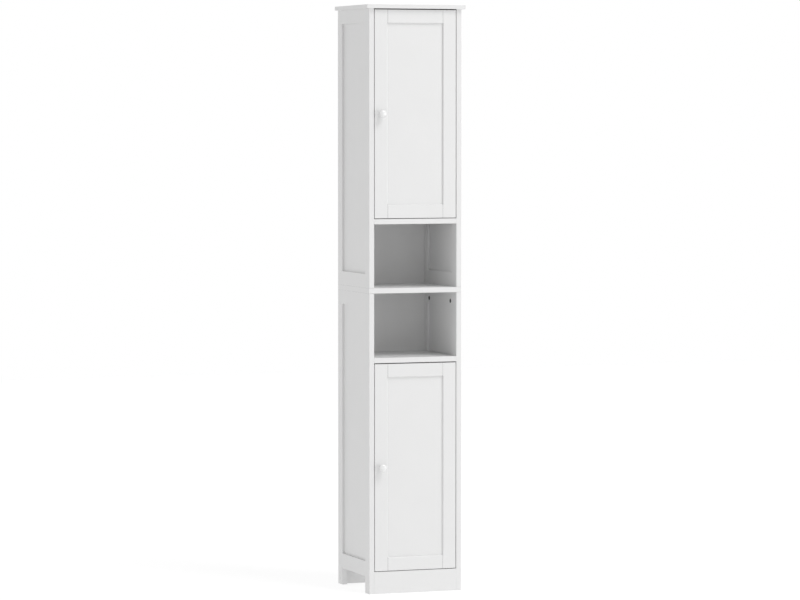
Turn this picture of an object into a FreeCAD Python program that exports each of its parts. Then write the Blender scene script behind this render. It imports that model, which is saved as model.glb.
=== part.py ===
import FreeCAD, Part
import os
import re
import Sketcher

# A tall, narrow bathroom cabinet of painted board, in knock-down construction. Two lower side frames stand
# on the floor, a middle board lies on them, and two upper side frames and a thin top board stand on that.
# Fixed boards, two plinths and thin backs tie the sides together. Two inset doors hang on concealed hinges.
# The origin is at the middle of the base, +X to the right, +Y to the back and +Z up, in millimetres.

doc = FreeCAD.newDocument("TallCabinet")
sheet = doc.addObject("Spreadsheet::Sheet", "Sizes")

sizes = {
    # outside
    "total_height": 1800, "carcass_width": 300, "carcass_depth": 290, "overhang": 10, "top_thickness": 12,
    # boards and their levels, each level the underside of its board
    "board": 16, "middle_level": 921, "upper_shelf_level": 1132, "lower_shelf_level": 708, "plinth_height": 68,
    "edge_cut": 0.6,
    # side frames
    "side_stile": 38, "side_rail": 43, "foot_rail": 46, "side_panel": 3, "side_groove": 5, "slack": 0.1,
    "end_play": 0.5,
    # backs
    "back_panel": 3, "back_inset": 6, "back_groove": 4,
    # doors
    "door_frame": 42, "door_panel": 5, "door_groove": 6, "door_gap": 2, "door_top_gap": 3, "bevel": 2.5,
    # loose shelves and their pins
    "shelf_play": 1, "shelf_front": 26, "shelf_back": 279, "pin_diameter": 5, "pin_depth": 10, "pin_out": 8,
    "pin_front": 29, "pin_rear": 28, "pin_pitch": 48, "pin_flat": 0.5,
    # cam fittings
    "cam_diameter": 15, "cam_depth": 12.5, "cam_play": 0.2, "cam_setback": 29, "cam_front": 52,
    "cam_slot": 7.6, "cam_lid": 4, "cam_slit": 8, "cam_slit_width": 1.6, "cam_slit_depth": 2.4,
    "bolt_bore": 8, "bolt_shaft": 5, "bolt_head": 6.8, "bolt_thread": 9,
    "thread_bore": 5, "bolt_front": 12, "bolt_rear": 28,
    # dowels and screws of the carcass
    "dowel": 6, "dowel_length": 30, "dowel_in_side": 11, "dowel_front": 28, "dowel_rear": 15,
    "seam_dowel": 8, "seam_dowel_in": 15, "seam_screw": 4, "seam_screw_place": 90, "seam_screw_head": 9,
    "seam_screw_sink": 4, "seam_screw_in": 30,
    # knobs
    "knob_diameter": 25, "knob_length": 24, "knob_base": 15, "knob_neck": 10, "knob_head": 13.5,
    "knob_front_slope": 3.5, "knob_back_slope": 5, "knob_screw": 4,
    "knob_screw_in": 10, "knob_screw_head": 8, "knob_head_height": 2.5,
    # hinges, measured from the side frame's inner face and the front
    "hinge_inset": 75, "cup_diameter": 26, "cup_in": 19, "cup_depth": 12.5, "cup_wall": 1, "cup_flange": 0.8,
    "flange_width": 30, "flange_height": 46, "flange_corner": 11, "hinge_pin": 2.4, "hinge_pin_in": 16.2,
    "hinge_pin_back": 7.1, "hinge_pin_length": 24.6, "eye": 4.4, "eye_play": 0.1, "arm_width": 9,
    "arm_thickness": 2, "arm_start": 23, "neck_in": 28.6, "arm_back": 30.5, "arm_corner": 8, "foot": 9,
    "plate_thickness": 2, "plate_front": 20, "plate_width": 16, "plate_height": 34, "plate_corner": 3,
}
for row, (alias, number) in enumerate(sizes.items(), start=1):
    sheet.set(f"A{row}", alias)
    sheet.set(f"B{row}", str(number))
    sheet.setAlias(f"B{row}", alias)
doc.recompute()

FRONT = "(knob_length - carcass_depth) / 2"
LEFT = "-carcass_width / 2"
FOOT_LEVEL = "(plinth_height - board)"
TOP_LEVEL = "(total_height - top_thickness)"
SIDE_SLOT = "(side_panel + 2 * slack)"
DOOR_SLOT = "(door_panel + 2 * slack)"
BACK_SLOT = "(back_panel + 2 * slack)"
BACK_FRONT = "(carcass_depth - back_inset - back_panel - 2 * slack)"
RIGHT_INSIDE = "(carcass_width - board)"
INNER_WIDTH = "(carcass_width - 2 * board)"
SIDES = {"left": "0", "right": RIGHT_INSIDE}
ENDS = {"front": "0", "rear": "(carcass_depth - side_stile)"}
RIGHT = FreeCAD.Vector(1, 0, 0)
BACK = FreeCAD.Vector(0, 1, 0)
UP = FreeCAD.Vector(0, 0, 1)

# Small round things that repeat have as many sides as their size asks for.
KNOB_SIDES = 24
ROUND = 12
CUP_SIDES = 24
DOWEL_SIDES = 8
PIN_SIDES = 8
BOLT_SIDES = 6


def bound(text):
    """Turns the sheet's words in a formula into references to its cells."""
    return re.sub(r"[a-z][a-z_]+", lambda word: "Sizes." + word.group(), text)


def piece(label, x, y, z):
    """A body with its own corner at x, y from the carcass's left front edge and z above the floor."""
    body = doc.addObject("PartDesign::Body", label)
    body.Label = label
    place(body, x, y, z)
    return body


def place(thing, x, y, z):
    thing.setExpression("Placement.Base.x", bound(f"{LEFT} + ({x})"))
    thing.setExpression("Placement.Base.y", bound(f"{FRONT} + ({y})"))
    thing.setExpression("Placement.Base.z", bound(z))


def dimension(sketch, kind, places, text):
    index = sketch.addConstraint(Sketcher.Constraint(kind, *places, 1.0))
    sketch.renameConstraint(index, f"size{index}")
    sketch.setExpression(f"Constraints.size{index}", bound(text))


def polygon(*corners):
    """A closed outline of straight lines whose corners are given by two formulas each."""
    def draw(sketch):
        first = sketch.GeometryCount
        count = len(corners)
        turns = [FreeCAD.Rotation(FreeCAD.Vector(0, 0, 1), 360 * k / count) for k in range(count)]
        start = [turn.multVec(FreeCAD.Vector(9, 0, 0)) for turn in turns]
        for k in range(count):
            sketch.addGeometry(Part.LineSegment(start[k], start[(k + 1) % count]), False)
        for k in range(count):
            joined = Sketcher.Constraint("Coincident", first + k, 2, first + (k + 1) % count, 1)
            sketch.addConstraint(joined)
        for k, (across, up) in enumerate(corners):
            dimension(sketch, "DistanceX", (-1, 1, first + k, 1), across)
            dimension(sketch, "DistanceY", (-1, 1, first + k, 1), up)
    return draw


def rectangle(left, low, wide, high):
    right = f"{left} + {wide}"
    top = f"{low} + {high}"
    return polygon((left, low), (right, low), (right, top), (left, top))


def circle(across, up, diameter):
    def draw(sketch):
        index = sketch.addGeometry(Part.Circle(FreeCAD.Vector(9, 9, 0), FreeCAD.Vector(0, 0, 1), 3), False)
        dimension(sketch, "DistanceX", (-1, 1, index, 3), across)
        dimension(sketch, "DistanceY", (-1, 1, index, 3), up)
        dimension(sketch, "Diameter", (index,), diameter)
    return draw


def sketch_on(body, plane, start, outlines):
    """A sketch on one of the body's own planes, moved along the axis that the plane leaves out."""
    flat = [feature for feature in body.Origin.OriginFeatures if feature.Role == plane + "_Plane"][0]
    sketch = body.newObject("Sketcher::SketchObject", "Outline")
    sketch.AttachmentSupport = (flat, [""])
    sketch.MapMode = "FlatFace"
    away = "-1" if plane == "XZ" else "1"
    sketch.setExpression("AttachmentOffset.Base.z", bound(f"{away} * ({start})"))
    for draw in outlines:
        draw(sketch)
    return sketch


def extrude(body, kind, plane, start, length, *outlines):
    """Pads or pockets outlines from start, always in the positive direction of the axis."""
    sketch = sketch_on(body, plane, start, outlines)
    feature = body.newObject("PartDesign::" + kind, kind)
    feature.Profile = sketch
    feature.setExpression("Length", bound(length))
    # the XZ plane faces -Y, and a pocket runs against its plane's normal
    feature.Reversed = (kind == "Pad") == (plane == "XZ")
    return feature


def block(label, corner, wide, deep, high):
    body = piece(label, *corner)
    extrude(body, "Pad", "XY", "0", high, rectangle("0", "0", wide, deep))
    return body


def ease(body, size, chosen):
    """Chamfers the edges that chosen accepts, given each edge's box."""
    doc.recompute()
    base = body.Tip
    names = [f"Edge{k}" for k, edge in enumerate(base.Shape.Edges, start=1) if chosen(edge.BoundBox)]
    chamfer = body.newObject("PartDesign::Chamfer", "Chamfer")
    chamfer.Base = (base, names)
    chamfer.setExpression("Size", bound(size))


def facing(toward, axis):
    """The turn that brings X to toward and Z to axis."""
    return FreeCAD.Rotation(toward, axis.cross(toward), axis, "ZXY")


def prism(body, kind, sides, diameter, length, corner, axis, toward):
    """Adds or cuts a many-sided rod that starts at a point, with one of its edges toward a side."""
    rod = body.newObject(f"PartDesign::{kind}Prism", "Rod")
    rod.Polygon = sides
    rod.setExpression("Circumradius", bound(f"({diameter}) / 2"))
    rod.setExpression("Height", bound(length))
    rod.Placement = FreeCAD.Placement(FreeCAD.Vector(), facing(toward, axis))
    for name, formula in zip("xyz", corner):
        rod.setExpression(f"Placement.Base.{name}", bound(formula))


def bore(body, sides, diameter, length, corner, axis, toward):
    prism(body, "Subtractive", sides, diameter, length, corner, axis, toward)


def rod(body, sides, diameter, length, corner, axis, toward):
    prism(body, "Additive", sides, diameter, length, corner, axis, toward)


def front_edges(box):
    return box.YMax < 0.01


def at_head_back(box):
    """The rim of a knob's head on the side of the door."""
    across = box.Center.x ** 2 + box.Center.z ** 2
    level = sizes["knob_head"] - sizes["knob_length"]
    return abs(box.YMin - level) < 0.01 and abs(box.YMax - level) < 0.01 and across > sizes["knob_base"] ** 2 / 2


def front_edges_along_x(box):
    return box.YMax < 0.01 and box.XLength > 20


# Levels of the two storeys: their side frames' foot and head, and the lowest rail with its height.
STOREYS = {
    "lower": ("0", "middle_level", FOOT_LEVEL, "foot_rail"),
    "upper": ("(middle_level + board)", TOP_LEVEL, "(middle_level + board)", "side_rail"),
}

# Fixed boards: the storey they stand in, the level of their underside and how far they start from the front.
BOARDS = {
    "bottom_board": ("lower", FOOT_LEVEL, "board"),
    "lower_fixed_shelf": ("lower", "lower_shelf_level", "0"),
    "upper_fixed_shelf": ("upper", "upper_shelf_level", "0"),
}

# Each door's lower edge and height; its loose shelf lies at half height and its knob sits there too.
DOORS = {
    "lower": ("(plinth_height + door_gap)", "(lower_shelf_level - plinth_height - door_gap - door_top_gap)"),
    "upper": ("(upper_shelf_level + board + door_gap)",
              f"({TOP_LEVEL} - upper_shelf_level - board - door_gap - door_top_gap)"),
}
MIDDLES = {storey: f"({low} + {height} / 2)" for storey, (low, height) in DOORS.items()}

# Distances from the front of what enters a front and a rear stile.
LINES = {
    "front": {"bolt": "bolt_front", "dowel": "dowel_front", "pin": "pin_front", "plinth": "board / 2",
              "cam": "cam_front", "seam": "side_stile / 2"},
    "rear": {"bolt": "(carcass_depth - bolt_rear)", "dowel": "(carcass_depth - dowel_rear)",
             "pin": "(carcass_depth - pin_rear)", "plinth": "(carcass_depth - board / 2)",
             "cam": "(carcass_depth - cam_front)", "seam": "(carcass_depth - side_stile / 2)"},
}
PIN_DROP = "(pin_diameter / 2 - pin_flat)"
SEAM_SCREWS = ["seam_screw_place", "(carcass_depth - seam_screw_place)"]
nodes = []


def bolt_line(end, start):
    """The bolts of a board lie at a set distance from its own front edge and from the back."""
    return LINES[end]["bolt"] + (f" + {start}" if end == "front" else "")


def bore_inside(body, side, y, low, bores):
    """Bores in a stile's inner face: distance from the front, level, diameter, depth, sides and turn."""
    for line, level, diameter, depth, sides, toward in bores:
        start = f"board - {depth}" if side == "left" else "0"
        bore(body, sides, diameter, depth, (start, f"{line} - {y}", f"{level} - {low}"), RIGHT, toward)


def stile_bores(storey, end):
    bores = []
    for board_storey, level, start in BOARDS.values():
        if board_storey == storey:
            middle = f"({level} + board / 2)"
            bores.append((bolt_line(end, start), middle, "thread_bore", "bolt_thread", BOLT_SIDES, UP))
            if start == "0":
                bores.append((LINES[end]["dowel"], middle, "dowel", "dowel_in_side", DOWEL_SIDES, UP))
    for step in (-1, 0, 1):
        level = f"({MIDDLES[storey]} - {PIN_DROP} + {step} * pin_pitch)"
        bores.append((LINES[end]["pin"], level, "pin_diameter", "pin_depth", PIN_SIDES, UP))
    if storey == "lower":
        middle = "(plinth_height / 2)" if end == "front" else f"({FOOT_LEVEL} / 2)"
        bores.append((LINES[end]["plinth"], middle, "thread_bore", "bolt_thread", BOLT_SIDES, BACK))
    return bores


# Side frames: two stiles, two rails with stub tenons and a thin panel, all held in one groove.
for side, x in SIDES.items():
    for storey, (low, high, rail_low, low_rail) in STOREYS.items():
        name = f"{side}_{storey}_"
        slot_left = f"(board - {SIDE_SLOT}) / 2"
        tongue_left = "(board - side_panel) / 2"
        for end, y in ENDS.items():
            stile = block(f"{name}{end}_stile", (x, y, low), "board", "side_stile", f"{high} - {low}")
            if end == "front":
                ease(stile, "edge_cut", lambda box: box.YMax < 0.01 and box.ZLength > 99)
            slot_front = "side_stile - side_groove" if end == "front" else "0"
            slot = rectangle(slot_left, slot_front, SIDE_SLOT, "side_groove")
            extrude(stile, "Pocket", "XY", f"{rail_low} - {low}", f"{high} - {rail_low}", slot)
            bore_inside(stile, side, y, low, stile_bores(storey, end))
            # the dowel that runs through the middle board
            seam_start = f"{high} - {low} - seam_dowel_in" if storey == "lower" else "0"
            bore(stile, DOWEL_SIDES, "seam_dowel", "seam_dowel_in", ("board / 2", "side_stile / 2", seam_start),
                 UP, RIGHT)
            if end == "rear":
                back_x = "board - back_groove" if side == "left" else "0"
                back_slot = rectangle(back_x, f"{BACK_FRONT} - {y}", "back_groove", BACK_SLOT)
                extrude(stile, "Pocket", "XY", f"{rail_low} - {low}", f"{high} - {rail_low}", back_slot)
            nodes.append(stile)
        span = "(carcass_depth - 2 * side_stile)"
        tongue = "(side_groove - end_play)"
        rails = {"bottom": (rail_low, low_rail), "top": (f"({high} - side_rail)", "side_rail")}
        for which, (level, tall) in rails.items():
            rail = block(f"{name}{which}_rail", (x, "side_stile", level), "board", span, tall)
            tenon = rectangle(tongue_left, "0", "side_panel", tall)
            extrude(rail, "Pad", "XZ", f"-{tongue}", f"{span} + 2 * {tongue}", tenon)
            slot_low = f"{tall} - side_groove" if which == "bottom" else "0"
            slot = rectangle(slot_left, slot_low, SIDE_SLOT, "side_groove")
            extrude(rail, "Pocket", "XZ", f"-{tongue}", f"{span} + 2 * {tongue}", slot)
            if which == "top":
                centre = "side_rail - cam_setback"
                start = "board - cam_depth" if side == "left" else "0"
                for end in ENDS:
                    line = f"{LINES[end]['cam']} - side_stile"
                    bore(rail, ROUND, "cam_diameter", "cam_depth", (start, line, centre), RIGHT, UP)
                    bore(rail, BOLT_SIDES, "bolt_bore", "cam_setback", ("board / 2", line, centre), UP, RIGHT)
            elif storey == "upper":
                for line in SEAM_SCREWS:
                    corner = ("board / 2", f"{line} - side_stile", "0")
                    bore(rail, DOWEL_SIDES, "seam_screw", "seam_screw_in", corner, UP, RIGHT)
            nodes.append(rail)
        panel_low = f"({rail_low} + {low_rail} - {tongue})"
        panel = block(f"{name}panel", (f"{x} + {tongue_left}", f"side_stile - {tongue}", panel_low),
                      "side_panel", f"{span} + 2 * {tongue}", f"{high} - side_rail + {tongue} - {panel_low}")
        nodes.append(panel)

# Top board, thin and standing proud at the front and the sides, with the grooves and bores of its underside.
top_board = block("top_board", ("-overhang", "-overhang", TOP_LEVEL),
                  "carcass_width + 2 * overhang", "carcass_depth + overhang", "top_thickness")
ease(top_board, "edge_cut", lambda box: box.YMin < 280 and (front_edges(box) or box.YLength > 99))
BOLT_X = ["board / 2", "(carcass_width - board / 2)"]
bolt_spots = [(x, LINES[end]["cam"]) for x in BOLT_X for end in ENDS]
for x, y in bolt_spots:
    corner = (f"{x} + overhang", f"{y} + overhang", "0")
    bore(top_board, BOLT_SIDES, "thread_bore", "bolt_thread", corner, UP, RIGHT)
groove_wide = f"{INNER_WIDTH} + 2 * back_groove"
groove = rectangle("board - back_groove + overhang", f"{BACK_FRONT} + overhang", groove_wide, BACK_SLOT)
extrude(top_board, "Pocket", "XY", "0", "back_groove", groove)
nodes.append(top_board)

# Middle board, lying through between the lower and the upper side frames.
middle_board = block("middle_board", ("0", "0", "middle_level"), "carcass_width", "carcass_depth", "board")
ease(middle_board, "edge_cut", front_edges_along_x)
groove = rectangle("board - back_groove", BACK_FRONT, groove_wide, BACK_SLOT)
extrude(middle_board, "Pocket", "XY", "0", "back_groove", groove)
extrude(middle_board, "Pocket", "XY", "board - back_groove", "back_groove", groove)
seam_dowel_spots = [(x, LINES[end]["seam"]) for x in BOLT_X for end in ENDS]
seam_screw_spots = [(x, y) for x in BOLT_X for y in SEAM_SCREWS]
for x, y in bolt_spots:
    bore(middle_board, BOLT_SIDES, "thread_bore", "bolt_thread", (x, y, "0"), UP, RIGHT)
for x, y in seam_dowel_spots:
    bore(middle_board, DOWEL_SIDES, "seam_dowel", "board", (x, y, "0"), UP, RIGHT)
for x, y in seam_screw_spots:
    bore(middle_board, DOWEL_SIDES, "seam_screw", "board", (x, y, "0"), UP, RIGHT)
    bore(middle_board, DOWEL_SIDES, "seam_screw_head", "seam_screw_sink", (x, y, "0"), UP, RIGHT)
nodes.append(middle_board)

# Fixed boards: cams in the underside, bolts and dowels in both ends.
DOWEL_REACH = "(dowel_length - dowel_in_side)"
CAM_ENDS = [("cam_setback", "0"), (f"{INNER_WIDTH} - cam_setback", f"{INNER_WIDTH} - cam_setback")]
for label, (storey, level, start) in BOARDS.items():
    deep = f"({BACK_FRONT} - {start})"
    board = block(label, ("board", start, level), INNER_WIDTH, deep, "board")
    if start == "0":
        ease(board, "edge_cut", front_edges_along_x)
    for end in ENDS:
        y = f"{bolt_line(end, start)} - {start}"
        for cam_x, bolt_x in CAM_ENDS:
            bore(board, ROUND, "cam_diameter", "cam_depth", (cam_x, y, "0"), UP, RIGHT)
            bore(board, BOLT_SIDES, "bolt_bore", "cam_setback", (bolt_x, y, "board / 2"), RIGHT, UP)
        if start == "0":
            for dowel_x in ("0", f"{INNER_WIDTH} - {DOWEL_REACH}"):
                corner = (dowel_x, LINES[end]["dowel"], "board / 2")
                bore(board, DOWEL_SIDES, "dowel", DOWEL_REACH, corner, RIGHT, UP)
    nodes.append(board)

# Plinths: the front one up to the bottom board's top, the rear one under the bottom board. Both have their
# cams in the rear face.
PLINTHS = {
    "plinth_front": ("0", "plinth_height"),
    "plinth_back": ("(carcass_depth - board)", FOOT_LEVEL),
}
for label, (y, tall) in PLINTHS.items():
    plinth = block(label, ("board", y, "0"), INNER_WIDTH, "board", tall)
    if y == "0":
        ease(plinth, "edge_cut", lambda box: front_edges_along_x(box) and box.ZMin > 9)
    for cam_x, bolt_x in CAM_ENDS:
        bore(plinth, ROUND, "cam_diameter", "cam_depth", (cam_x, "board - cam_depth", f"{tall} / 2"), BACK, RIGHT)
        bolt_corner = (bolt_x, "board / 2", f"{tall} / 2")
        bore(plinth, BOLT_SIDES, "bolt_bore", "cam_setback", bolt_corner, RIGHT, BACK)
    nodes.append(plinth)

# Backs, each in one piece from board to board, in grooves all round.
BACKS = {
    "back_panel_lower": (FOOT_LEVEL, "(middle_level + back_groove - slack)"),
    "back_panel_upper": ("(middle_level + board - back_groove + slack)", f"({TOP_LEVEL} + back_groove - slack)"),
}
for label, (low, high) in BACKS.items():
    back = block(label, ("board - back_groove + slack", f"{BACK_FRONT} + slack", low),
                 f"{INNER_WIDTH} + 2 * (back_groove - slack)", "back_panel", f"{high} - {low}")
    nodes.append(back)

# Loose shelves.
for storey, level in MIDDLES.items():
    shelf = block(f"adjustable_shelf_{storey}", ("board + shelf_play", "shelf_front", level),
                  f"{INNER_WIDTH} - 2 * shelf_play", "shelf_back - shelf_front", "board")
    ease(shelf, "edge_cut", front_edges_along_x)
    nodes.append(shelf)


def group(label, master, spots):
    """Copies of one piece, each with its place and its turn."""
    copies = []
    for x, y, z, turn in spots:
        copy = doc.addObject("App::Link", label + "_copy")
        copy.LinkedObject = master
        copy.Placement = FreeCAD.Placement(FreeCAD.Vector(), turn)
        place(copy, x, y, z)
        copies.append(copy)
    whole = doc.addObject("Part::Compound", label)
    whole.Label = label
    whole.Links = copies
    nodes.append(whole)


def master_body(label):
    body = doc.addObject("PartDesign::Body", label)
    body.Label = label
    return body


STRAIGHT = FreeCAD.Rotation()
AROUND = FreeCAD.Rotation(FreeCAD.Vector(0, 0, 1), 180)

# Shelf pins: a round peg whose outer half is flattened where the shelf lies on it.
pin = master_body("shelf_pin")
rod(pin, PIN_SIDES, "pin_diameter", "pin_depth + pin_out", ("-pin_depth", "0", "0"), RIGHT, UP)
flat = rectangle("-pin_diameter / 2", PIN_DROP, "pin_diameter", "pin_flat")
extrude(pin, "Pocket", "YZ", "0", "pin_out", flat)
pin_spots = []
for storey in STOREYS:
    for end in ENDS:
        for x, turn in (("board", STRAIGHT), (RIGHT_INSIDE, AROUND)):
            pin_spots.append((x, LINES[end]["pin"], f"{MIDDLES[storey]} - {PIN_DROP}", turn))
group("shelf_pins", pin, pin_spots)

# Cam locks and their bolts share a place: the cam's centre on its board's face, +X along the bolt, +Z inward.
cam = master_body("cam_lock")
rod(cam, ROUND, "cam_diameter - cam_play", "cam_depth", ("0", "0", "0"), UP, RIGHT)
mouth = rectangle("-3", "-cam_slot / 2", "8 + 3", "cam_slot")
extrude(cam, "Pocket", "XY", "cam_lid", "cam_depth - cam_lid", mouth)
slit = rectangle("-cam_slit / 2", "-cam_slit_width / 2", "cam_slit", "cam_slit_width")
extrude(cam, "Pocket", "XY", "0", "cam_slit_depth", slit)

bolt = master_body("cam_bolt")
BOLT_STEPS = [
    ("-1.5", "3", "bolt_head"),
    ("1.5", "cam_setback - 1.5", "bolt_shaft"),
    ("cam_setback", "bolt_thread - 0.2", "thread_bore - 0.2"),
]
for start, length, diameter in BOLT_STEPS:
    rod(bolt, BOLT_SIDES, diameter, length, (start, "0", "board / 2"), RIGHT, UP)

cam_spots = []
for x, along in (("board + cam_setback", -RIGHT), (f"{RIGHT_INSIDE} - cam_setback", RIGHT)):
    for storey, level, start in BOARDS.values():
        for end in ENDS:
            cam_spots.append((x, bolt_line(end, start), level, facing(along, UP)))
    cam_spots.append((x, "board", "plinth_height / 2", facing(along, -BACK)))
    cam_spots.append((x, "carcass_depth", f"{FOOT_LEVEL} / 2", facing(along, -BACK)))
for x, inward in (("board", -RIGHT), (RIGHT_INSIDE, RIGHT)):
    for level in ("middle_level - cam_setback", f"{TOP_LEVEL} - cam_setback"):
        for end in ENDS:
            cam_spots.append((x, LINES[end]["cam"], level, facing(UP, inward)))
group("cam_locks", cam, cam_spots)
group("cam_bolts", bolt, cam_spots)

# Dowels: short ones in the fixed shelves' ends, long ones upright through the middle board.
dowel = master_body("shelf_dowel")
rod(dowel, DOWEL_SIDES, "dowel", "dowel_length", ("-dowel_in_side", "0", "0"), RIGHT, UP)
dowel_spots = []
for storey, level, start in BOARDS.values():
    if start == "0":
        for end in ENDS:
            for x, turn in (("board", STRAIGHT), (RIGHT_INSIDE, AROUND)):
                dowel_spots.append((x, LINES[end]["dowel"], f"{level} + board / 2", turn))
group("shelf_dowels", dowel, dowel_spots)

seam_dowel = master_body("seam_dowel_master")
rod(seam_dowel, DOWEL_SIDES, "seam_dowel", "board + 2 * seam_dowel_in", ("0", "0", "-seam_dowel_in"), UP, RIGHT)
group("seam_dowels", seam_dowel, [(x, y, "middle_level", STRAIGHT) for x, y in seam_dowel_spots])

# Screws that hold the upper side frames on the middle board, from below.
seam_screw = master_body("seam_screw_master")
rod(seam_screw, DOWEL_SIDES, "seam_screw_head", "seam_screw_sink", ("0", "0", "0"), UP, RIGHT)
rod(seam_screw, DOWEL_SIDES, "seam_screw", "board + seam_screw_in", ("0", "0", "0"), UP, RIGHT)
group("seam_screws", seam_screw, [(x, y, "middle_level", STRAIGHT) for x, y in seam_screw_spots])

# Hinges. Each is modelled from the point where the side frame's inner face meets the front plane.
cup = master_body("hinge_cup")
rod(cup, CUP_SIDES, "cup_diameter", "cup_depth", ("-cup_in", "board - cup_depth", "0"), BACK, RIGHT)
FLANGE_SIDE = "flange_width / 2"
FLANGE_HEAD = "flange_height / 2"
flange = polygon(
    (f"-cup_in - {FLANGE_SIDE}", "-cup_diameter / 4"), (f"-cup_in - {FLANGE_SIDE} + flange_corner", f"-{FLANGE_HEAD}"),
    (f"-cup_in + {FLANGE_SIDE} - flange_corner", f"-{FLANGE_HEAD}"), (f"-cup_in + {FLANGE_SIDE}", "-cup_diameter / 4"),
    (f"-cup_in + {FLANGE_SIDE}", "cup_diameter / 4"), (f"-cup_in + {FLANGE_SIDE} - flange_corner", FLANGE_HEAD),
    (f"-cup_in - {FLANGE_SIDE} + flange_corner", FLANGE_HEAD), (f"-cup_in - {FLANGE_SIDE}", "cup_diameter / 4"),
)
extrude(cup, "Pad", "XZ", "board", "cup_flange", flange)
hollow_corner = ("-cup_in", "board - cup_depth + cup_wall", "0")
bore(cup, CUP_SIDES, "(cup_diameter - 2 * cup_wall)", "cup_depth - cup_wall + cup_flange", hollow_corner, BACK, RIGHT)
pivot = circle("-hinge_pin_in", "hinge_pin_back", "hinge_pin")
extrude(cup, "Pad", "XY", "-hinge_pin_length / 2", "hinge_pin_length", pivot)

# The arm: an eye round the pin, a neck that leads out of the cup past the door, and a foot on the plate.
HALF = "arm_thickness / 2"
TURN = "0.4142 * arm_thickness / 2"
NECK_FOOT = "(hinge_pin_back + neck_in - arm_start)"
NECK_HEAD = "(arm_back - arm_corner)"
arm = master_body("hinge_arm")
strip = polygon(
    ("-hinge_pin_in", f"hinge_pin_back - {HALF}"),
    ("-hinge_pin_in", f"hinge_pin_back + {HALF}"),
    (f"-arm_start + {TURN}", f"hinge_pin_back + {HALF}"),
    (f"-neck_in + {HALF}", f"{NECK_FOOT} + {TURN}"),
    (f"-neck_in + {HALF}", f"{NECK_HEAD} - {TURN}"),
    (f"arm_corner - neck_in + {TURN}", f"arm_back - {HALF}"),
    ("-plate_thickness - arm_thickness", f"arm_back - {HALF}"),
    ("-plate_thickness - arm_thickness", "arm_back - foot"),
    ("-plate_thickness", "arm_back - foot"),
    ("-plate_thickness", f"arm_back + {HALF}"),
    (f"arm_corner - neck_in - {TURN}", f"arm_back + {HALF}"),
    (f"-neck_in - {HALF}", f"{NECK_HEAD} + {TURN}"),
    (f"-neck_in - {HALF}", f"{NECK_FOOT} - {TURN}"),
    (f"-arm_start - {TURN}", f"hinge_pin_back - {HALF}"),
)
extrude(arm, "Pad", "XY", "-arm_width / 2", "arm_width", strip)
rod(arm, ROUND, "eye", "arm_width", ("-hinge_pin_in", "hinge_pin_back", "-arm_width / 2"), UP, RIGHT)
turning = circle("-hinge_pin_in", "hinge_pin_back", "hinge_pin + eye_play")
extrude(arm, "Pocket", "XY", "-arm_width / 2", "arm_width", turning)

plate = master_body("hinge_plate")
footprint = rectangle("plate_front", "-plate_height / 2", "plate_width", "plate_height")
extrude(plate, "Pad", "YZ", "-plate_thickness", "plate_thickness", footprint)
ease(plate, "plate_corner", lambda box: box.XLength > 1 and box.YLength < 0.01 and box.ZLength < 0.01)

hinge_levels = {storey: [f"{low} + hinge_inset", f"{low} + {height} - hinge_inset"]
                for storey, (low, height) in DOORS.items()}
all_hinges = [(RIGHT_INSIDE, "0", level, STRAIGHT) for levels in hinge_levels.values() for level in levels]
group("hinge_plates", plate, all_hinges)
group("hinge_arms", arm, all_hinges)

# Doors: stiles and rails round a recessed panel, a small bevel round the opening, and a turned knob.
DOOR_WIDTH = f"({INNER_WIDTH} - 2 * door_gap)"
DOOR_LEFT = "(board + door_gap)"
DOOR_SPAN = f"({DOOR_WIDTH} - 2 * door_frame)"
DOOR_TONGUE = "(door_groove - end_play)"
slot_front = f"(board - {DOOR_SLOT}) / 2"
tongue_front = "(board - door_panel) / 2"


def bevel_opening(body, x, z, height):
    """Cuts one bevel round the door's opening, given the piece's own corner on the door."""
    wedge = body.newObject("PartDesign::SubtractiveWedge", "Bevel")
    edges = {"Xmin": f"door_frame - bevel - {x}", "Xmax": f"{DOOR_WIDTH} - door_frame + bevel - {x}",
             "Zmin": f"door_frame - bevel - {z}", "Zmax": f"{height} - door_frame + bevel - {z}",
             "X2min": f"door_frame - {x}", "X2max": f"{DOOR_WIDTH} - door_frame - {x}",
             "Z2min": f"door_frame - {z}", "Z2max": f"{height} - door_frame - {z}",
             "Ymin": "0", "Ymax": "bevel"}
    for edge, formula in edges.items():
        wedge.setExpression(edge, bound(formula))


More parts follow.
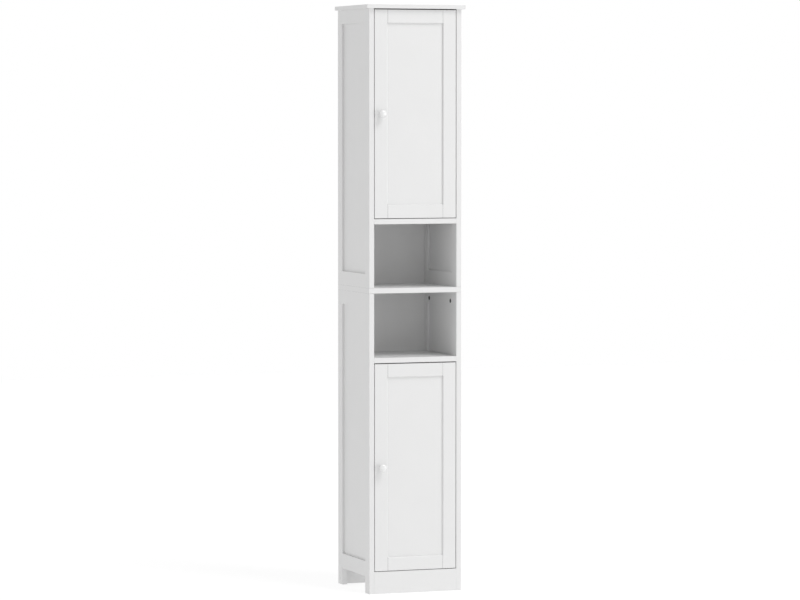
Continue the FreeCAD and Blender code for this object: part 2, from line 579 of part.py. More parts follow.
for storey, (low, height) in DOORS.items():
    name = f"{storey}_door_"
    stiles = {"knob": ("0", "0", "door_frame - door_groove"),
              "hinge": (f"({DOOR_WIDTH} - door_frame)", "door_frame", "0")}
    for which, (x, outer, slot_left) in stiles.items():
        stile = block(f"{name}{which}_stile", (f"{DOOR_LEFT} + {x}", "0", low), "door_frame", "board", height)
        outer_x = 0 if which == "knob" else sizes["door_frame"]
        ease(stile, "edge_cut", lambda box: front_edges(box) and (box.XLength > 1 or box.XMin == outer_x))
        slot = rectangle(slot_left, slot_front, "door_groove", DOOR_SLOT)
        extrude(stile, "Pocket", "XY", "0", height, slot)
        bevel_opening(stile, x, "0", height)
        if which == "knob":
            bore(stile, ROUND, "knob_screw", "board", ("door_frame / 2", "0", f"{height} / 2"), BACK, UP)
        else:
            cup_x = f"{DOOR_WIDTH} + door_gap - cup_in - {x}"
            for level in ("hinge_inset", f"{height} - hinge_inset"):
                bore(stile, CUP_SIDES, "cup_diameter", "cup_depth", (cup_x, "board - cup_depth", level), BACK, RIGHT)
        nodes.append(stile)
    rails = {"bottom": ("0", "door_frame - door_groove"), "top": (f"({height} - door_frame)", "0")}
    for which, (z, slot_low) in rails.items():
        corner = (f"{DOOR_LEFT} + door_frame", "0", f"{low} + {z}")
        rail = block(f"{name}{which}_rail", corner, DOOR_SPAN, "board", "door_frame")
        outer_z = 0 if which == "bottom" else sizes["door_frame"]
        ease(rail, "edge_cut", lambda box: front_edges(box) and (box.ZLength > 1 or abs(box.ZMin - outer_z) < 0.01))
        tenon = rectangle(tongue_front, "0", "door_panel", "door_frame")
        extrude(rail, "Pad", "YZ", f"-{DOOR_TONGUE}", f"{DOOR_SPAN} + 2 * {DOOR_TONGUE}", tenon)
        slot = rectangle(slot_front, slot_low, DOOR_SLOT, "door_groove")
        extrude(rail, "Pocket", "YZ", f"-{DOOR_TONGUE}", f"{DOOR_SPAN} + 2 * {DOOR_TONGUE}", slot)
        bevel_opening(rail, "door_frame", z, height)
        nodes.append(rail)
    inset = f"(door_frame - {DOOR_TONGUE})"
    panel = block(f"{name}panel", (f"{DOOR_LEFT} + {inset}", tongue_front, f"{low} + {inset}"),
                  f"{DOOR_WIDTH} - 2 * {inset}", "door_panel", f"{height} - 2 * {inset}")
    nodes.append(panel)

    knob_place = (f"{DOOR_LEFT} + door_frame / 2", "0", MIDDLES[storey])
    knob = piece(f"{name}knob", *knob_place)
    rod(knob, KNOB_SIDES, "knob_base", "knob_length / 8", ("0", "-knob_length / 8", "0"), BACK, RIGHT)
    rod(knob, KNOB_SIDES, "knob_neck", "knob_length / 2", ("0", "-knob_length / 2", "0"), BACK, RIGHT)
    rod(knob, KNOB_SIDES, "knob_diameter", "knob_head", ("0", "-knob_length", "0"), BACK, RIGHT)
    ease(knob, "knob_front_slope", lambda box: box.YMax < 0.1 - sizes["knob_length"])
    ease(knob, "knob_back_slope", at_head_back)
    bore(knob, ROUND, "knob_screw", "knob_screw_in", ("0", "-knob_screw_in", "0"), BACK, UP)
    nodes.append(knob)

    screw = piece(f"{name}knob_screw", *knob_place)
    rod(screw, ROUND, "knob_screw", "knob_screw_in + board", ("0", "-knob_screw_in", "0"), BACK, UP)
    rod(screw, ROUND, "knob_screw_head", "knob_head_height", ("0", "board", "0"), BACK, UP)
    nodes.append(screw)

    hinges = [(RIGHT_INSIDE, "0", level, STRAIGHT) for level in hinge_levels[storey]]
    group(f"{name}hinge_cups", cup, hinges)

CUTS = ("PartDesign::Pocket", "PartDesign::SubtractivePrism", "PartDesign::SubtractiveWedge")
doc.recompute()
for thing in doc.Objects:
    if "Invalid" in thing.State or "Error" in thing.State:
        raise RuntimeError(f"{thing.Label} failed: {thing.State}")
    if thing.TypeId in CUTS and thing.Shape.Volume > thing.BaseFeature.Shape.Volume - 0.01:
        raise RuntimeError(f"{thing.Label} removes nothing")
for node in nodes:
    if node.Shape.isNull() or not node.Shape.isValid() or node.Shape.Volume <= 0:
        raise RuntimeError(f"{node.Label} has no valid shape")

os.makedirs("parts", exist_ok=True)
for node in nodes:
    node.Shape.exportStep(f"parts/{node.Label}.step")
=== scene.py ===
import math

import bpy
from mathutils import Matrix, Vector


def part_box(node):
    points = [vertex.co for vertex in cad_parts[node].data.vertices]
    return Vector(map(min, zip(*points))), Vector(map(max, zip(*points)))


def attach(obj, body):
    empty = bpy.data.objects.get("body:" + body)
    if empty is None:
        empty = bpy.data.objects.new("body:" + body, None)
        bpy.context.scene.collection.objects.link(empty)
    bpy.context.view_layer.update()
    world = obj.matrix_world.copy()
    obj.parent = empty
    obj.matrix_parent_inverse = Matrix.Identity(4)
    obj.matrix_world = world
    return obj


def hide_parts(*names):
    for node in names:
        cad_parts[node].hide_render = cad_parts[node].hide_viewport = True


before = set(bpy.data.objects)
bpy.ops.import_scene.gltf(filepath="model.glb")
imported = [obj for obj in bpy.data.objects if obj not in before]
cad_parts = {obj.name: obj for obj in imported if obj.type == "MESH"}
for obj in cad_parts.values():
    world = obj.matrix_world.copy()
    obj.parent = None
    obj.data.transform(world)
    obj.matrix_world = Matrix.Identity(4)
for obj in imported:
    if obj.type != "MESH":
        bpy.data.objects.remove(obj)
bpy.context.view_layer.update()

# ---------------------------------------------------------------- painted boards of the carcass
# Fibreboard boards, rails and stiles, 16 mm thick (the top 12 mm), sprayed with satin white paint. The paint
# is a neutral white with an orange peel of about 2 mm and a sheen that varies a little.


class Wire:
    """A value in a material's nodes that can be summed, scaled and compared like a number."""

    def __init__(self, tree, socket):
        self.tree = tree
        self.socket = socket

    def math(self, operation, *values):
        node = self.tree.nodes.new("ShaderNodeMath")
        node.operation = operation
        feed(self.tree, node, dict(enumerate(values)))
        return Wire(self.tree, node.outputs[0])

    def __add__(self, other):
        return self.math("ADD", self, other)

    def __radd__(self, other):
        return self.math("ADD", other, self)

    def __sub__(self, other):
        return self.math("SUBTRACT", self, other)

    def __rsub__(self, other):
        return self.math("SUBTRACT", other, self)

    def __mul__(self, other):
        return self.math("MULTIPLY", self, other)

    def __rmul__(self, other):
        return self.math("MULTIPLY", other, self)

    def __gt__(self, other):
        return self.math("GREATER_THAN", self, other)

    def __lt__(self, other):
        return self.math("LESS_THAN", self, other)

    def __abs__(self):
        return self.math("ABSOLUTE", self)


def feed(tree, node, inputs):
    for name, value in inputs.items():
        if isinstance(value, Wire):
            tree.links.new(value.socket, node.inputs[name])
        else:
            node.inputs[name].default_value = value


class Finish:
    """A material with one Principled shader, and the nodes that lead into it."""

    def __init__(self, name):
        self.material = bpy.data.materials.new(name)
        self.material.use_nodes = True
        self.tree = self.material.node_tree
        self.place = self.node("ShaderNodeTexCoord", output="Object")
        self.x = self.node("ShaderNodeSeparateXYZ", {}, {0: self.place}, "X")
        self.z = self.node("ShaderNodeSeparateXYZ", {}, {0: self.place}, "Z")

    def node(self, kind, settings=None, inputs=None, output=0):
        node = self.tree.nodes.new(kind)
        for name, value in (settings or {}).items():
            setattr(node, name, value)
        feed(self.tree, node, inputs or {})
        return Wire(self.tree, node.outputs[output])

    def noise(self, scale, detail=2.0):
        """Noise of 0 to 1 whose grain is about 1/scale of a metre."""
        return self.node("ShaderNodeTexNoise", {}, {"Vector": self.place, "Scale": scale, "Detail": detail})

    def tint(self, color, amount):
        """A colour made lighter or darker by a varying amount."""
        return self.node("ShaderNodeVectorMath", {"operation": "SCALE"}, {0: color, "Scale": amount})

    def bump(self, height, depth):
        return self.node("ShaderNodeBump", {}, {"Height": height, "Strength": 1.0, "Distance": depth})

    def surface(self, **inputs):
        names = {word: word.replace("_", " ").title() for word in inputs}
        names["ior"] = "IOR"
        values = {names[word]: value for word, value in inputs.items()}
        feed(self.tree, self.tree.nodes["Principled BSDF"], values)
        return self.material


WHITE_PAINT = (0.775, 0.775, 0.774)
# How far the painted shade darkens a joint line.
JOINT_SHADE = 0.75
PEEL_DEPTH = 0.00016
# How far the painted shade line reaches either side of each face of the middle board.
SEAM_SHADE_WIDTH = 0.0002


def satin_paint(name, color, joint_shade=None):
    """Sprayed satin paint. The optional mask gives, from the finish, 0 to 1 where a joint line is darkened
    as painted shade.
    """
    paint = Finish(name)
    level = 0.985 + 0.03 * paint.noise(9.0)
    # Painted shade: the colour is darkened along joint lines.
    if joint_shade:
        level = level * (1.0 - JOINT_SHADE * joint_shade(paint))
    peel = paint.noise(520.0, 1.0) + 0.6 * paint.noise(150.0)
    return paint.surface(base_color=paint.tint(color, level), roughness=0.36 + 0.1 * paint.noise(30.0),
                         normal=paint.bump(peel, PEEL_DEPTH), ior=1.45)


def coat(names, material):
    """Gives CAD nodes a material in place of their plain one."""
    for name in names:
        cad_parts[name].data.materials.clear()
        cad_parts[name].data.materials.append(material)


def seam_shade(paint):
    """Painted shade: dark hairlines where the side frames stand against the two faces of the middle board.
    """
    return sum(abs(paint.z - corner[2]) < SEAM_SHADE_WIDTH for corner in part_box("middle_board"))


# The side frames' colour carries painted shade along their joints with the middle board.
FRAME_PARTS = ("front_stile", "rear_stile", "top_rail", "bottom_rail", "panel")
coat([f"{side}_{storey}_{part}" for side in ("left", "right") for storey in ("lower", "upper")
      for part in FRAME_PARTS], satin_paint("frame_paint_seam_shade", WHITE_PAINT, seam_shade))
coat(["top_board", "middle_board", "bottom_board", "upper_fixed_shelf", "lower_fixed_shelf", "plinth_front",
      "plinth_back", "adjustable_shelf_upper", "adjustable_shelf_lower"],
     satin_paint("board_paint", WHITE_PAINT))

# ---------------------------------------------------------------- doors
# Two doors of 264 x 636 mm in the same paint: stiles and rails 42 mm wide round a recessed 5 mm panel. The
# butt joints between stiles and rails show as hairlines of painted shade in the rails' colour, 90 mm either
# side of the middle.
RAIL_END = 0.0893
# The rails' colour is darkened near each end, as painted shade in the butt joints.
door_paint = satin_paint("door_paint", WHITE_PAINT, lambda paint: abs(paint.x) > RAIL_END)
plain_door_paint = satin_paint("plain_door_paint", WHITE_PAINT)
for storey in ("upper", "lower"):
    coat([f"{storey}_door_top_rail", f"{storey}_door_bottom_rail"], door_paint)
    coat([f"{storey}_door_{part}" for part in ("knob_stile", "hinge_stile", "panel")], plain_door_paint)

# ---------------------------------------------------------------- backs
# Two hardboard backs, 3 mm thick, held in grooves in the rear stiles and the boards. They are white and matt
# on both faces, with a faint fibre pattern under the paint.
BACK_WHITE = (0.8, 0.8, 0.799)
backing = Finish("backing")
fibre = backing.noise(240.0, 4.0)
backing.surface(base_color=backing.tint(BACK_WHITE, 0.97 + 0.04 * backing.noise(14.0)),
                roughness=0.6 + 0.12 * fibre, normal=backing.bump(fibre, 0.00008))
coat(["back_panel_upper", "back_panel_lower"], backing.material)

# ---------------------------------------------------------------- knobs
# Two wooden knobs, 25 mm across and 24 mm long, turned with a foot, a 10 mm waist and a mushroom head, and
# painted a glossy white. Each stands in the middle of its door's left stile.
SMOOTH_BELOW = math.radians(35)


def turned(name, stations, segments=64):
    """A turned piece about the Z axis, given as radii and heights from one end to the other."""
    (radius, height), *others = stations
    bpy.ops.object.select_all(action="DESELECT")
    bpy.ops.mesh.primitive_circle_add(vertices=segments, radius=radius, fill_type="NGON",
                                      location=(0, 0, height))
    piece = bpy.context.object
    piece.name = name
    bpy.ops.object.mode_set(mode="EDIT")
    bpy.ops.mesh.select_all(action="SELECT")
    for next_radius, next_height in others:
        growth = next_radius / radius
        bpy.ops.mesh.extrude_region_move(TRANSFORM_OT_translate={"value": (0, 0, next_height - height)})
        bpy.ops.transform.resize(value=(growth, growth, 1), center_override=(0, 0, next_height))
        radius = next_radius
        height = next_height
    bpy.ops.mesh.select_all(action="SELECT")
    bpy.ops.mesh.normals_make_consistent(inside=False)
    bpy.ops.object.mode_set(mode="OBJECT")
    bpy.ops.object.transform_apply()
    bpy.ops.object.shade_smooth_by_angle(angle=SMOOTH_BELOW)
    return piece


def arc(start, end, steps=8):
    """Stations on a quarter of an ellipse that leaves start along the axis and meets end square to it."""
    angles = [math.radians(90 * k / steps) for k in range(1, steps + 1)]
    return [(start[0] + (end[0] - start[0]) * (1 - math.cos(angle)),
             start[1] + (end[1] - start[1]) * math.sin(angle)) for angle in angles]


def copies(master, name, spots):
    """Copies of a piece, each with its place and its turn, joined into one piece in place of the master."""
    bpy.ops.object.select_all(action="DESELECT")
    for place, turn in spots:
        copy = master.copy()
        copy.data = master.data.copy()
        copy.location = place
        copy.rotation_euler = turn
        bpy.context.collection.objects.link(copy)
        copy.select_set(True)
    bpy.context.view_layer.objects.active = copy
    bpy.data.objects.remove(master)
    if len(spots) > 1:
        bpy.ops.object.join()
    copy.name = name
    bpy.ops.object.transform_apply()
    return copy


def wear(piece, material, body, slot, *nodes):
    """Finishes a piece: its material, the body it moves with and the CAD nodes it stands for. slot is not
    used.
    """
    if material:
        piece.data.materials.clear()
        piece.data.materials.append(material)
    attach(piece, body)
    if nodes:
        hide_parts(*nodes)


KNOB_FOOT = 0.0075
KNOB_WAIST = 0.005
KNOB_HEAD = 0.0125
FOOT_TOP = 0.0022
WAIST_BELOW = 0.0046
WAIST_ABOVE = 0.0062
HEAD_START = 0.0142
HEAD_WIDEST = 0.0158
KNOB_LENGTH = 0.024
FORWARD = (math.radians(90), 0, 0)
GLOSS_WHITE = (0.82, 0.82, 0.818)
gloss = Finish("knob_gloss")
gloss.surface(base_color=gloss.tint(GLOSS_WHITE, 0.985 + 0.03 * gloss.noise(60.0)), roughness=0.2,
              coat_weight=1.0, coat_roughness=0.05, normal=gloss.bump(gloss.noise(220.0), 0.00004))
knob_profile = [(KNOB_FOOT - 0.0004, 0), (KNOB_FOOT, 0.0004), (KNOB_FOOT, FOOT_TOP)]
knob_profile += arc((KNOB_FOOT, FOOT_TOP), (KNOB_WAIST + 0.0006, WAIST_BELOW))
knob_profile += arc((KNOB_WAIST, WAIST_ABOVE), (KNOB_HEAD - 0.0006, HEAD_START))
knob_profile += [(KNOB_HEAD, HEAD_WIDEST - 0.0009), (KNOB_HEAD, HEAD_WIDEST)]
knob_profile += [(KNOB_HEAD * math.cos(angle), HEAD_WIDEST + (KNOB_LENGTH - HEAD_WIDEST) * math.sin(angle))
                 for angle in (math.radians(8 * k) for k in range(1, 11))]
for storey in ("upper", "lower"):
    knob_low, knob_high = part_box(f"{storey}_door_knob")
    spot = ((knob_low[0] + knob_high[0]) / 2, knob_high[1], (knob_low[2] + knob_high[2]) / 2)
    knob = copies(turned("knob", knob_profile), f"{storey}_turned_knob", [(spot, FORWARD)])
    wear(knob, gloss.material, f"{storey}_door", "knob", f"{storey}_door_knob")

# ---------------------------------------------------------------- knob screws
# A pan-head machine screw through each knob stile from the back. It is bright zinc, with a cross recess in
# its head of 8 mm.


def metal(name, color, rough):
    """Plated metal with a fine grain and faint blotches in its sheen."""
    plating = Finish(name)
    grain = plating.noise(900.0, 3.0)
    return plating.surface(base_color=plating.tint(color, 0.96 + 0.07 * plating.noise(120.0)), metallic=1.0,
                           roughness=rough + 0.06 * grain, normal=plating.bump(grain, 0.00001))


def cut_cross(piece, length, width, depth, face=0.0):
    """Sinks a cross recess into a piece from the level face downward, both arms alike."""
    for arm in ((length, width), (width, length)):
        bpy.ops.object.select_all(action="DESELECT")
        bpy.ops.mesh.primitive_cube_add(size=1, location=(0, 0, face), scale=(*arm, 2 * depth))
        cutter = bpy.context.object
        modifier = piece.modifiers.new("recess", "BOOLEAN")
        modifier.object = cutter
        bpy.context.view_layer.objects.active = piece
        bpy.ops.object.modifier_apply(modifier=modifier.name)
        bpy.data.objects.remove(cutter)


def pan_head(radius, height, shank, length):
    """A screw that points down, with its head's underside at the origin."""
    stations = [(shank * 0.8, -length), (shank, -length + shank * 0.4), (shank, 0), (radius * 0.94, 0)]
    stations += [(radius, height * 0.1)]
    stations += [(radius * math.cos(angle), height * (0.1 + 0.9 * math.sin(angle)))
                 for angle in (math.radians(12 * k) for k in range(1, 6))]
    screw = turned("screw", stations, 32)
    cut_cross(screw, radius * 1.1, radius * 0.26, height * 0.75, height)
    return screw


zinc = metal("bright_zinc", (0.62, 0.62, 0.63), 0.26)
BACKWARD = (math.radians(-90), 0, 0)
for storey in ("upper", "lower"):
    screw_low, screw_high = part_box(f"{storey}_door_knob_screw")
    door_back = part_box(f"{storey}_door_knob_stile")[1][1]
    spot = ((screw_low[0] + screw_high[0]) / 2, door_back, (screw_low[2] + screw_high[2]) / 2)
    machine_screw = pan_head(radius=0.004, height=0.0024, shank=0.0018, length=door_back - screw_low[1])
    screw = copies(machine_screw, f"{storey}_knob_screw_smooth", [(spot, BACKWARD)])
    wear(screw, zinc, f"{storey}_door", "steel", f"{storey}_door_knob_screw")

# ---------------------------------------------------------------- cam locks
# Twenty-four cams of die-cast zinc, 15 mm across, in their bores: a thin light lip round a sunk face with a
# cross recess. The sunk face and the recess are coloured near black as painted shade. Two cams show under
# the middle board, on the right side frame. Those in the rear plinth have no lip.
CAM_RADIUS = 0.0072
CAM_LIP = 0.0077
CAM_FACE = 0.0066
CAM_SINK = 0.0007
CAM_DEPTH = 0.0125
CAM_SETBACK = 0.029
CAM_FROM_END = 0.052
CAM_FRONT = 0.012
CAM_REAR = 0.028
CAM_TURN = math.radians(30)
LIP_PROUD = 0.0001
cast = metal("cast_zinc", (0.78, 0.78, 0.78), 0.3)
# Near-black zinc: painted shade for the sunk faces and cross recesses, in place of the shade in the bores.
painted_shade_zinc = metal("zinc_painted_shade", (0.09, 0.09, 0.093), 0.5)


def joined(*pieces):
    """Several pieces as one, under the first one's name."""
    bpy.ops.object.select_all(action="DESELECT")
    for piece in pieces:
        piece.select_set(True)
    bpy.context.view_layer.objects.active = pieces[0]
    bpy.ops.object.join()
    return pieces[0]


def cam(edge):
    """A cam that points up from its face at the origin. edge gives the stations of its rim."""
    lock = turned("cam", [(CAM_RADIUS, CAM_DEPTH), *edge, (CAM_FACE - 0.0001, CAM_SINK)], 48)
    cut_cross(lock, length=0.008, width=0.0017, depth=0.0034)
    lock.data.materials.append(cast)
    lock.data.materials.append(painted_shade_zinc)
    # The sunk face and the cross recess take the near-black zinc, as painted shade.
    for face in lock.data.polygons:
        inside = math.hypot(face.center.x, face.center.y) < CAM_FACE
        face.material_index = int(inside and 0.0001 < face.center.z < 0.005)
    return lock


middle_low, middle_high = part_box("middle_board")
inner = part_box("bottom_board")[1][0]
cam_spots = []
rear_spots = []
for side in (-1, 1):
    for board in ("bottom_board", "lower_fixed_shelf", "upper_fixed_shelf"):
        board_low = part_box(board)[0]
        for y in (board_low[1] + CAM_FRONT, middle_high[1] - CAM_REAR):
            cam_spots.append(((side * (inner - CAM_SETBACK), y, board_low[2]), (0, 0, CAM_TURN)))
    for plinth, spots in (("plinth_front", cam_spots), ("plinth_back", rear_spots)):
        plinth_low, plinth_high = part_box(plinth)
        level = (plinth_low[2] + plinth_high[2]) / 2
        spots.append(((side * (inner - CAM_SETBACK), plinth_high[1], level), FORWARD))
    for top in (middle_low[2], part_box("top_board")[0][2]):
        for y in (middle_low[1] + CAM_FROM_END, middle_high[1] - CAM_FROM_END):
            cam_spots.append(((side * inner, y, top - CAM_SETBACK), (0, side * math.radians(90), 0)))
lip = [(CAM_RADIUS, 0), (CAM_LIP, 0), (CAM_LIP - 0.0001, -LIP_PROUD), (CAM_FACE, -LIP_PROUD)]
lipped_cams = copies(cam(lip), "cam_faces", cam_spots)
flush_cams = copies(cam([(CAM_RADIUS, 0.0003), (CAM_RADIUS - 0.0003, 0), (CAM_FACE, 0)]),
                    "flush_cams", rear_spots)
wear(joined(lipped_cams, flush_cams), None, "carcass", "cam", "cam_locks")

# ---------------------------------------------------------------- bolts, dowels and long screws
# What holds the boards together inside them: steel cam bolts, beech dowels and the screws up from the middle
# board. They show only where a board is taken off.
BEECH = (0.62, 0.44, 0.27)
beech = Finish("beech")
rings = beech.node("ShaderNodeTexWave", {"bands_direction": "Z"},
                   {"Vector": beech.place, "Scale": 140.0, "Distortion": 6.0})
beech.surface(base_color=beech.tint(BEECH, 0.85 + 0.2 * rings), roughness=0.7)
coat(["cam_bolts", "seam_screws"], zinc)
coat(["shelf_dowels", "seam_dowels"], beech.material)

# ---------------------------------------------------------------- shelf pins
# Nickel-plated pegs of 5 mm, four under each loose shelf, with a collar against the side and a flat on top
# where the shelf lies.
PIN_RADIUS = 0.0024
PIN_FLAT = 0.002
PIN_SHANK = 0.0022
PIN_IN = 0.0095
PIN_OUT = 0.008
PIN_FRONT = 0.029
PIN_REAR = 0.028
COLLAR_RADIUS = 0.0036
COLLAR = 0.0009
nickel = metal("nickel", (0.68, 0.67, 0.64), 0.2)
pin = turned("pin", [(PIN_SHANK - 0.0007, -PIN_IN), (PIN_SHANK, -PIN_IN + 0.0007), (PIN_SHANK, 0),
                     (COLLAR_RADIUS - 0.0002, 0), (COLLAR_RADIUS, 0.0002), (COLLAR_RADIUS, COLLAR - 0.0002),
                     (COLLAR_RADIUS - 0.0002, COLLAR), (PIN_RADIUS, COLLAR), (PIN_RADIUS, PIN_OUT - 0.0005),
                     (PIN_RADIUS - 0.0005, PIN_OUT)], 32)
for corner in pin.data.vertices:
    on_peg = math.hypot(corner.co.x, corner.co.y) < COLLAR_RADIUS - 0.0006
    if on_peg and corner.co.z > COLLAR - 0.0001:
        corner.co.y = min(corner.co.y, PIN_FLAT)
pin_spots = []
for storey in ("upper", "lower"):
    shelf_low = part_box(f"adjustable_shelf_{storey}")[0]
    for side in (-1, 1):
        for y in (middle_low[1] + PIN_FRONT, middle_high[1] - PIN_REAR):
            spot = (side * inner, y, shelf_low[2] - PIN_FLAT)
            pin_spots.append((spot, (math.radians(90), 0, -side * math.radians(90))))
wear(copies(pin, "shelf_pegs", pin_spots), nickel, "carcass", "steel", "shelf_pins")

# ---------------------------------------------------------------- hinge cups
# Two nickel-plated cups in each door, 26 mm across, let into the hinge stile and covered by an oval flange
# that two small screws hold. A pin across each cup carries the arm.
CUP_RADIUS = 0.01285
CUP_HOLLOW = 0.012
CUP_DEPTH = 0.0125
CUP_IN = 0.019
FLANGE = 0.0008
FLANGE_RADIUS = 0.015
FLANGE_REACH = 0.023
CROSS_PIN = (0.0028, 0, -0.0089)
CROSS_PIN_RADIUS = 0.0012
CROSS_PIN_REACH = 0.0122
CUP_SCREW_REACH = 0.0185
hinge_levels = {}
for storey in ("upper", "lower"):
    cups_low, cups_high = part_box(f"{storey}_door_hinge_cups")
    hinge_levels[storey] = [cups_low[2] + FLANGE_REACH, cups_high[2] - FLANGE_REACH]
side_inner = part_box("right_upper_front_stile")[0][0]
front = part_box("right_upper_front_stile")[0][1]
cup_x = side_inner - CUP_IN
door_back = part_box("upper_door_hinge_stile")[1][1]
cup_shell = turned("cup", [(CUP_RADIUS - 0.001, -CUP_DEPTH), (CUP_RADIUS, -CUP_DEPTH + 0.001),
                           (CUP_RADIUS, 0), (FLANGE_RADIUS - 0.0003, 0), (FLANGE_RADIUS, FLANGE * 0.4),
                           (FLANGE_RADIUS - 0.0003, FLANGE), (CUP_HOLLOW + 0.0005, FLANGE),
                           (CUP_HOLLOW, FLANGE - 0.0005), (CUP_HOLLOW, -CUP_DEPTH + 0.003),
                           (CUP_HOLLOW - 0.0015, -CUP_DEPTH + 0.0012)])
for corner in cup_shell.data.vertices:
    if corner.co.z > -0.0001 and math.hypot(corner.co.x, corner.co.y) > FLANGE_RADIUS - 0.0005:
        corner.co.y *= FLANGE_REACH / FLANGE_RADIUS
pin_ends = [(CROSS_PIN_RADIUS, -CROSS_PIN_REACH), (CROSS_PIN_RADIUS, CROSS_PIN_REACH)]
cross_pin = copies(turned("cross_pin", pin_ends, 24), "cross_pin", [(CROSS_PIN, FORWARD)])
cup_screws = copies(pan_head(radius=0.0032, height=0.0014, shank=0.0015, length=0.009), "cup_screws",
                    [((0, side * CUP_SCREW_REACH, FLANGE), (0, 0, side * math.radians(25)))
                     for side in (-1, 1)])
hinge_cup = joined(cup_shell, cross_pin, cup_screws)
for storey in ("upper", "lower"):
    master = hinge_cup.copy()
    master.data = hinge_cup.data.copy()
    bpy.context.collection.objects.link(master)
    spots = [((cup_x, door_back, level), BACKWARD) for level in hinge_levels[storey]]
    wear(copies(master, f"{storey}_hinge_cups_round", spots), nickel, f"{storey}_door", "hinge",
         f"{storey}_door_hinge_cups")
bpy.data.objects.remove(hinge_cup)

# ---------------------------------------------------------------- hinge arms
# Four nickel-plated arms, bent from strip of 9 x 2 mm: a rolled eye round the cup's pin, a goose neck that
# clears the door's edge, and a foot that one screw holds on the mounting plate.
ARM_WIDTH = 0.009
ARM_THICK = 0.002
BEND_WIDTH = 0.0018
EDGE_WIDTH = 0.0003
EYE_RADIUS = 0.0022
ARM_SCREW = (-0.004, 0.026, 0)
EYE = (-0.0162, 0.0071)
BENDS = [(-0.023, 0.0071), (-0.0286, 0.0127), (-0.0286, 0.0225), (-0.0206, 0.0305), (-0.003, 0.0305),
         (-0.003, 0.0215)]
bpy.ops.object.select_all(action="DESELECT")
strip_middle = (EYE[0] + BENDS[0][0]) / 2
bpy.ops.mesh.primitive_plane_add(size=1, location=(strip_middle, EYE[1], 0), rotation=FORWARD)
strip = bpy.context.object
strip.scale = (EYE[0] - BENDS[0][0], ARM_WIDTH, 1)
bpy.ops.object.transform_apply()
for corner in strip.data.vertices:
    corner.select = corner.co.x < strip_middle
for edge in strip.data.edges:
    edge.select = all(strip.data.vertices[end].select for end in edge.vertices)
for face in strip.data.polygons:
    face.select = False
bpy.ops.object.mode_set(mode="EDIT")
bpy.ops.mesh.select_mode(type="EDGE")
for bend, following in zip(BENDS, BENDS[1:]):
    step = (following[0] - bend[0], following[1] - bend[1], 0)
    bpy.ops.mesh.extrude_region_move(TRANSFORM_OT_translate={"value": step})
bpy.ops.mesh.select_all(action="SELECT")
bpy.ops.mesh.normals_make_consistent(inside=False)
bpy.ops.object.mode_set(mode="OBJECT")
rounding = strip.modifiers.new("bends", "BEVEL")
rounding.width = BEND_WIDTH
rounding.segments = 4
wall = strip.modifiers.new("strip", "SOLIDIFY")
wall.thickness = ARM_THICK
wall.offset = 0
softened = strip.modifiers.new("edges", "BEVEL")
softened.width = EDGE_WIDTH
softened.segments = 2
softened.angle_limit = math.radians(60)
for modifier in (rounding, wall, softened):
    bpy.ops.object.modifier_apply(modifier=modifier.name)
bpy.ops.object.shade_smooth_by_angle(angle=SMOOTH_BELOW)
eye = turned("eye", [(EYE_RADIUS - 0.0002, -ARM_WIDTH / 2), (EYE_RADIUS, -ARM_WIDTH / 2 + 0.0002),
                     (EYE_RADIUS, ARM_WIDTH / 2 - 0.0002), (EYE_RADIUS - 0.0002, ARM_WIDTH / 2)], 32)
eye = copies(eye, "eye", [((*EYE, 0), (0, 0, 0))])
INWARD = (0, math.radians(-90), 0)
arm_screw = copies(pan_head(radius=0.0028, height=0.0016, shank=0.0018, length=0.003), "arm_screw",
                   [(ARM_SCREW, INWARD)])
arm = joined(strip, eye, arm_screw)
all_levels = hinge_levels["upper"] + hinge_levels["lower"]
arm_spots = [((side_inner, front, level), (0, 0, 0)) for level in all_levels]
wear(copies(arm, "goose_neck_arms", arm_spots), nickel, "carcass", "hinge", "hinge_arms")

# ---------------------------------------------------------------- mounting plates
# Four nickel-plated steel plates of 16 x 34 mm on the right side frames. Two flat-headed screws hold each
# one on the stile, above and below the arm.
coat(["hinge_plates"], nickel)
PLATE_SCREW_REACH = 0.0115
plate_screws = copies(pan_head(radius=0.0034, height=0.0007, shank=0.0016, length=0.0019),
                      "plate_screws_pair",
                      [((-0.002, 0.028, side * PLATE_SCREW_REACH), INWARD) for side in (-1, 1)])
wear(copies(plate_screws, "plate_screws", arm_spots), zinc, "carcass", "steel")

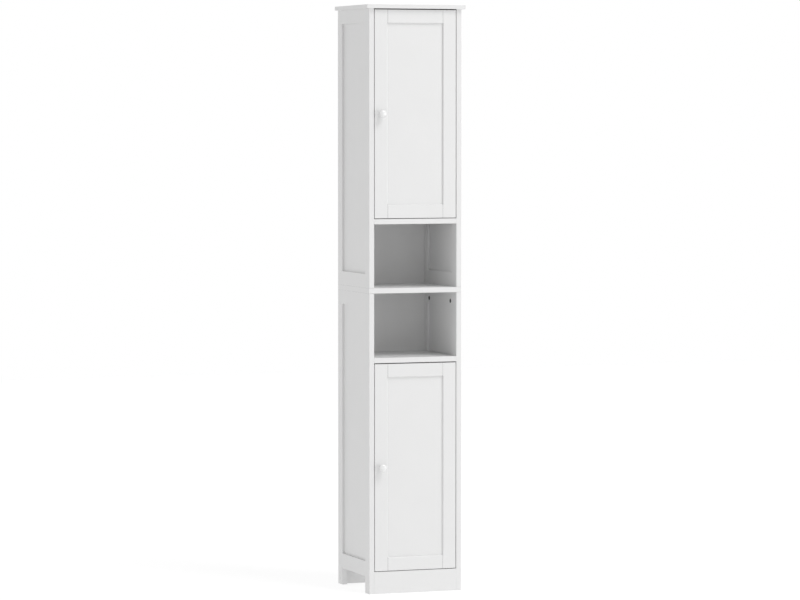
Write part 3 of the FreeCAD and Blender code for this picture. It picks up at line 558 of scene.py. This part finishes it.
# ---------------------------------------------------------------- stage, light and camera
# A white floor and a white background. One broad lamp stands high at the right front, one low beside it and
# a weak one at the left. The fronts are nearly white and the left side is a light grey.
bpy.ops.object.select_all(action="DESELECT")
bpy.ops.mesh.primitive_plane_add(size=14, location=(0, 2, 0))
floor = bpy.context.object
floor.name = "floor"


def shown(tree):
    """1 for what the camera sees, also through metal and glass, and 0 for what only lights the cabinet."""
    rays = tree.nodes.new("ShaderNodeLightPath")
    seen = Wire(tree, rays.outputs["Is Camera Ray"])
    for ray in ("Is Glossy Ray", "Is Transmission Ray"):
        seen = seen.math("MAXIMUM", seen, Wire(tree, rays.outputs[ray]))
    return seen


FLOOR_GLOW = 0.66
ground = Finish("floor_white")
glow = ground.tint((1, 1, 1), FLOOR_GLOW + 0.1 * shown(ground.tree))
floor.data.materials.append(ground.surface(base_color=(0.3, 0.3, 0.3, 1), roughness=0.9, emission_color=glow,
                                           emission_strength=1.0))

AMBIENT = 0.52
world = bpy.data.worlds.new("surroundings")
bpy.context.scene.world = world
world.use_nodes = True
feed(world.node_tree, world.node_tree.nodes["Background"],
     {"Color": (1, 1, 1, 1), "Strength": AMBIENT + (1 - AMBIENT) * shown(world.node_tree)})


def lamp(name, size, power, place, target):
    """A square lamp, turned toward a point."""
    bpy.ops.object.light_add(type="AREA", location=place)
    light = bpy.context.object
    light.name = name
    light.data.size = size
    light.data.energy = power
    away = [start - end for start, end in zip(place, target)]
    tilt = math.atan2(math.hypot(away[0], away[1]), away[2])
    light.rotation_euler = (tilt, 0, math.atan2(away[0], -away[1]))


NICHES = (0, 0, 0.9)
lamp("key", 4.0, 425, (3.4, -5.4, 9.6), NICHES)
lamp("front", 5.0, 238, (6.6, -7.6, 1.2), NICHES)
lamp("fill", 4.0, 34, (-6.0, -2.0, 2.4), NICHES)

EYE_POINT = (-3.908, -10.7065, 1.482)
LOOK_DOWN = math.radians(2.9594)
LOOK_RIGHT = math.radians(20.0443)
bpy.ops.object.camera_add(location=EYE_POINT, rotation=(math.radians(90) - LOOK_DOWN, 0, -LOOK_RIGHT))
camera = bpy.context.object
camera.data.lens = 166.013
camera.data.sensor_width = 36
camera.data.clip_end = 100
bpy.context.scene.camera = camera
bpy.context.scene.view_settings.view_transform = "Standard"
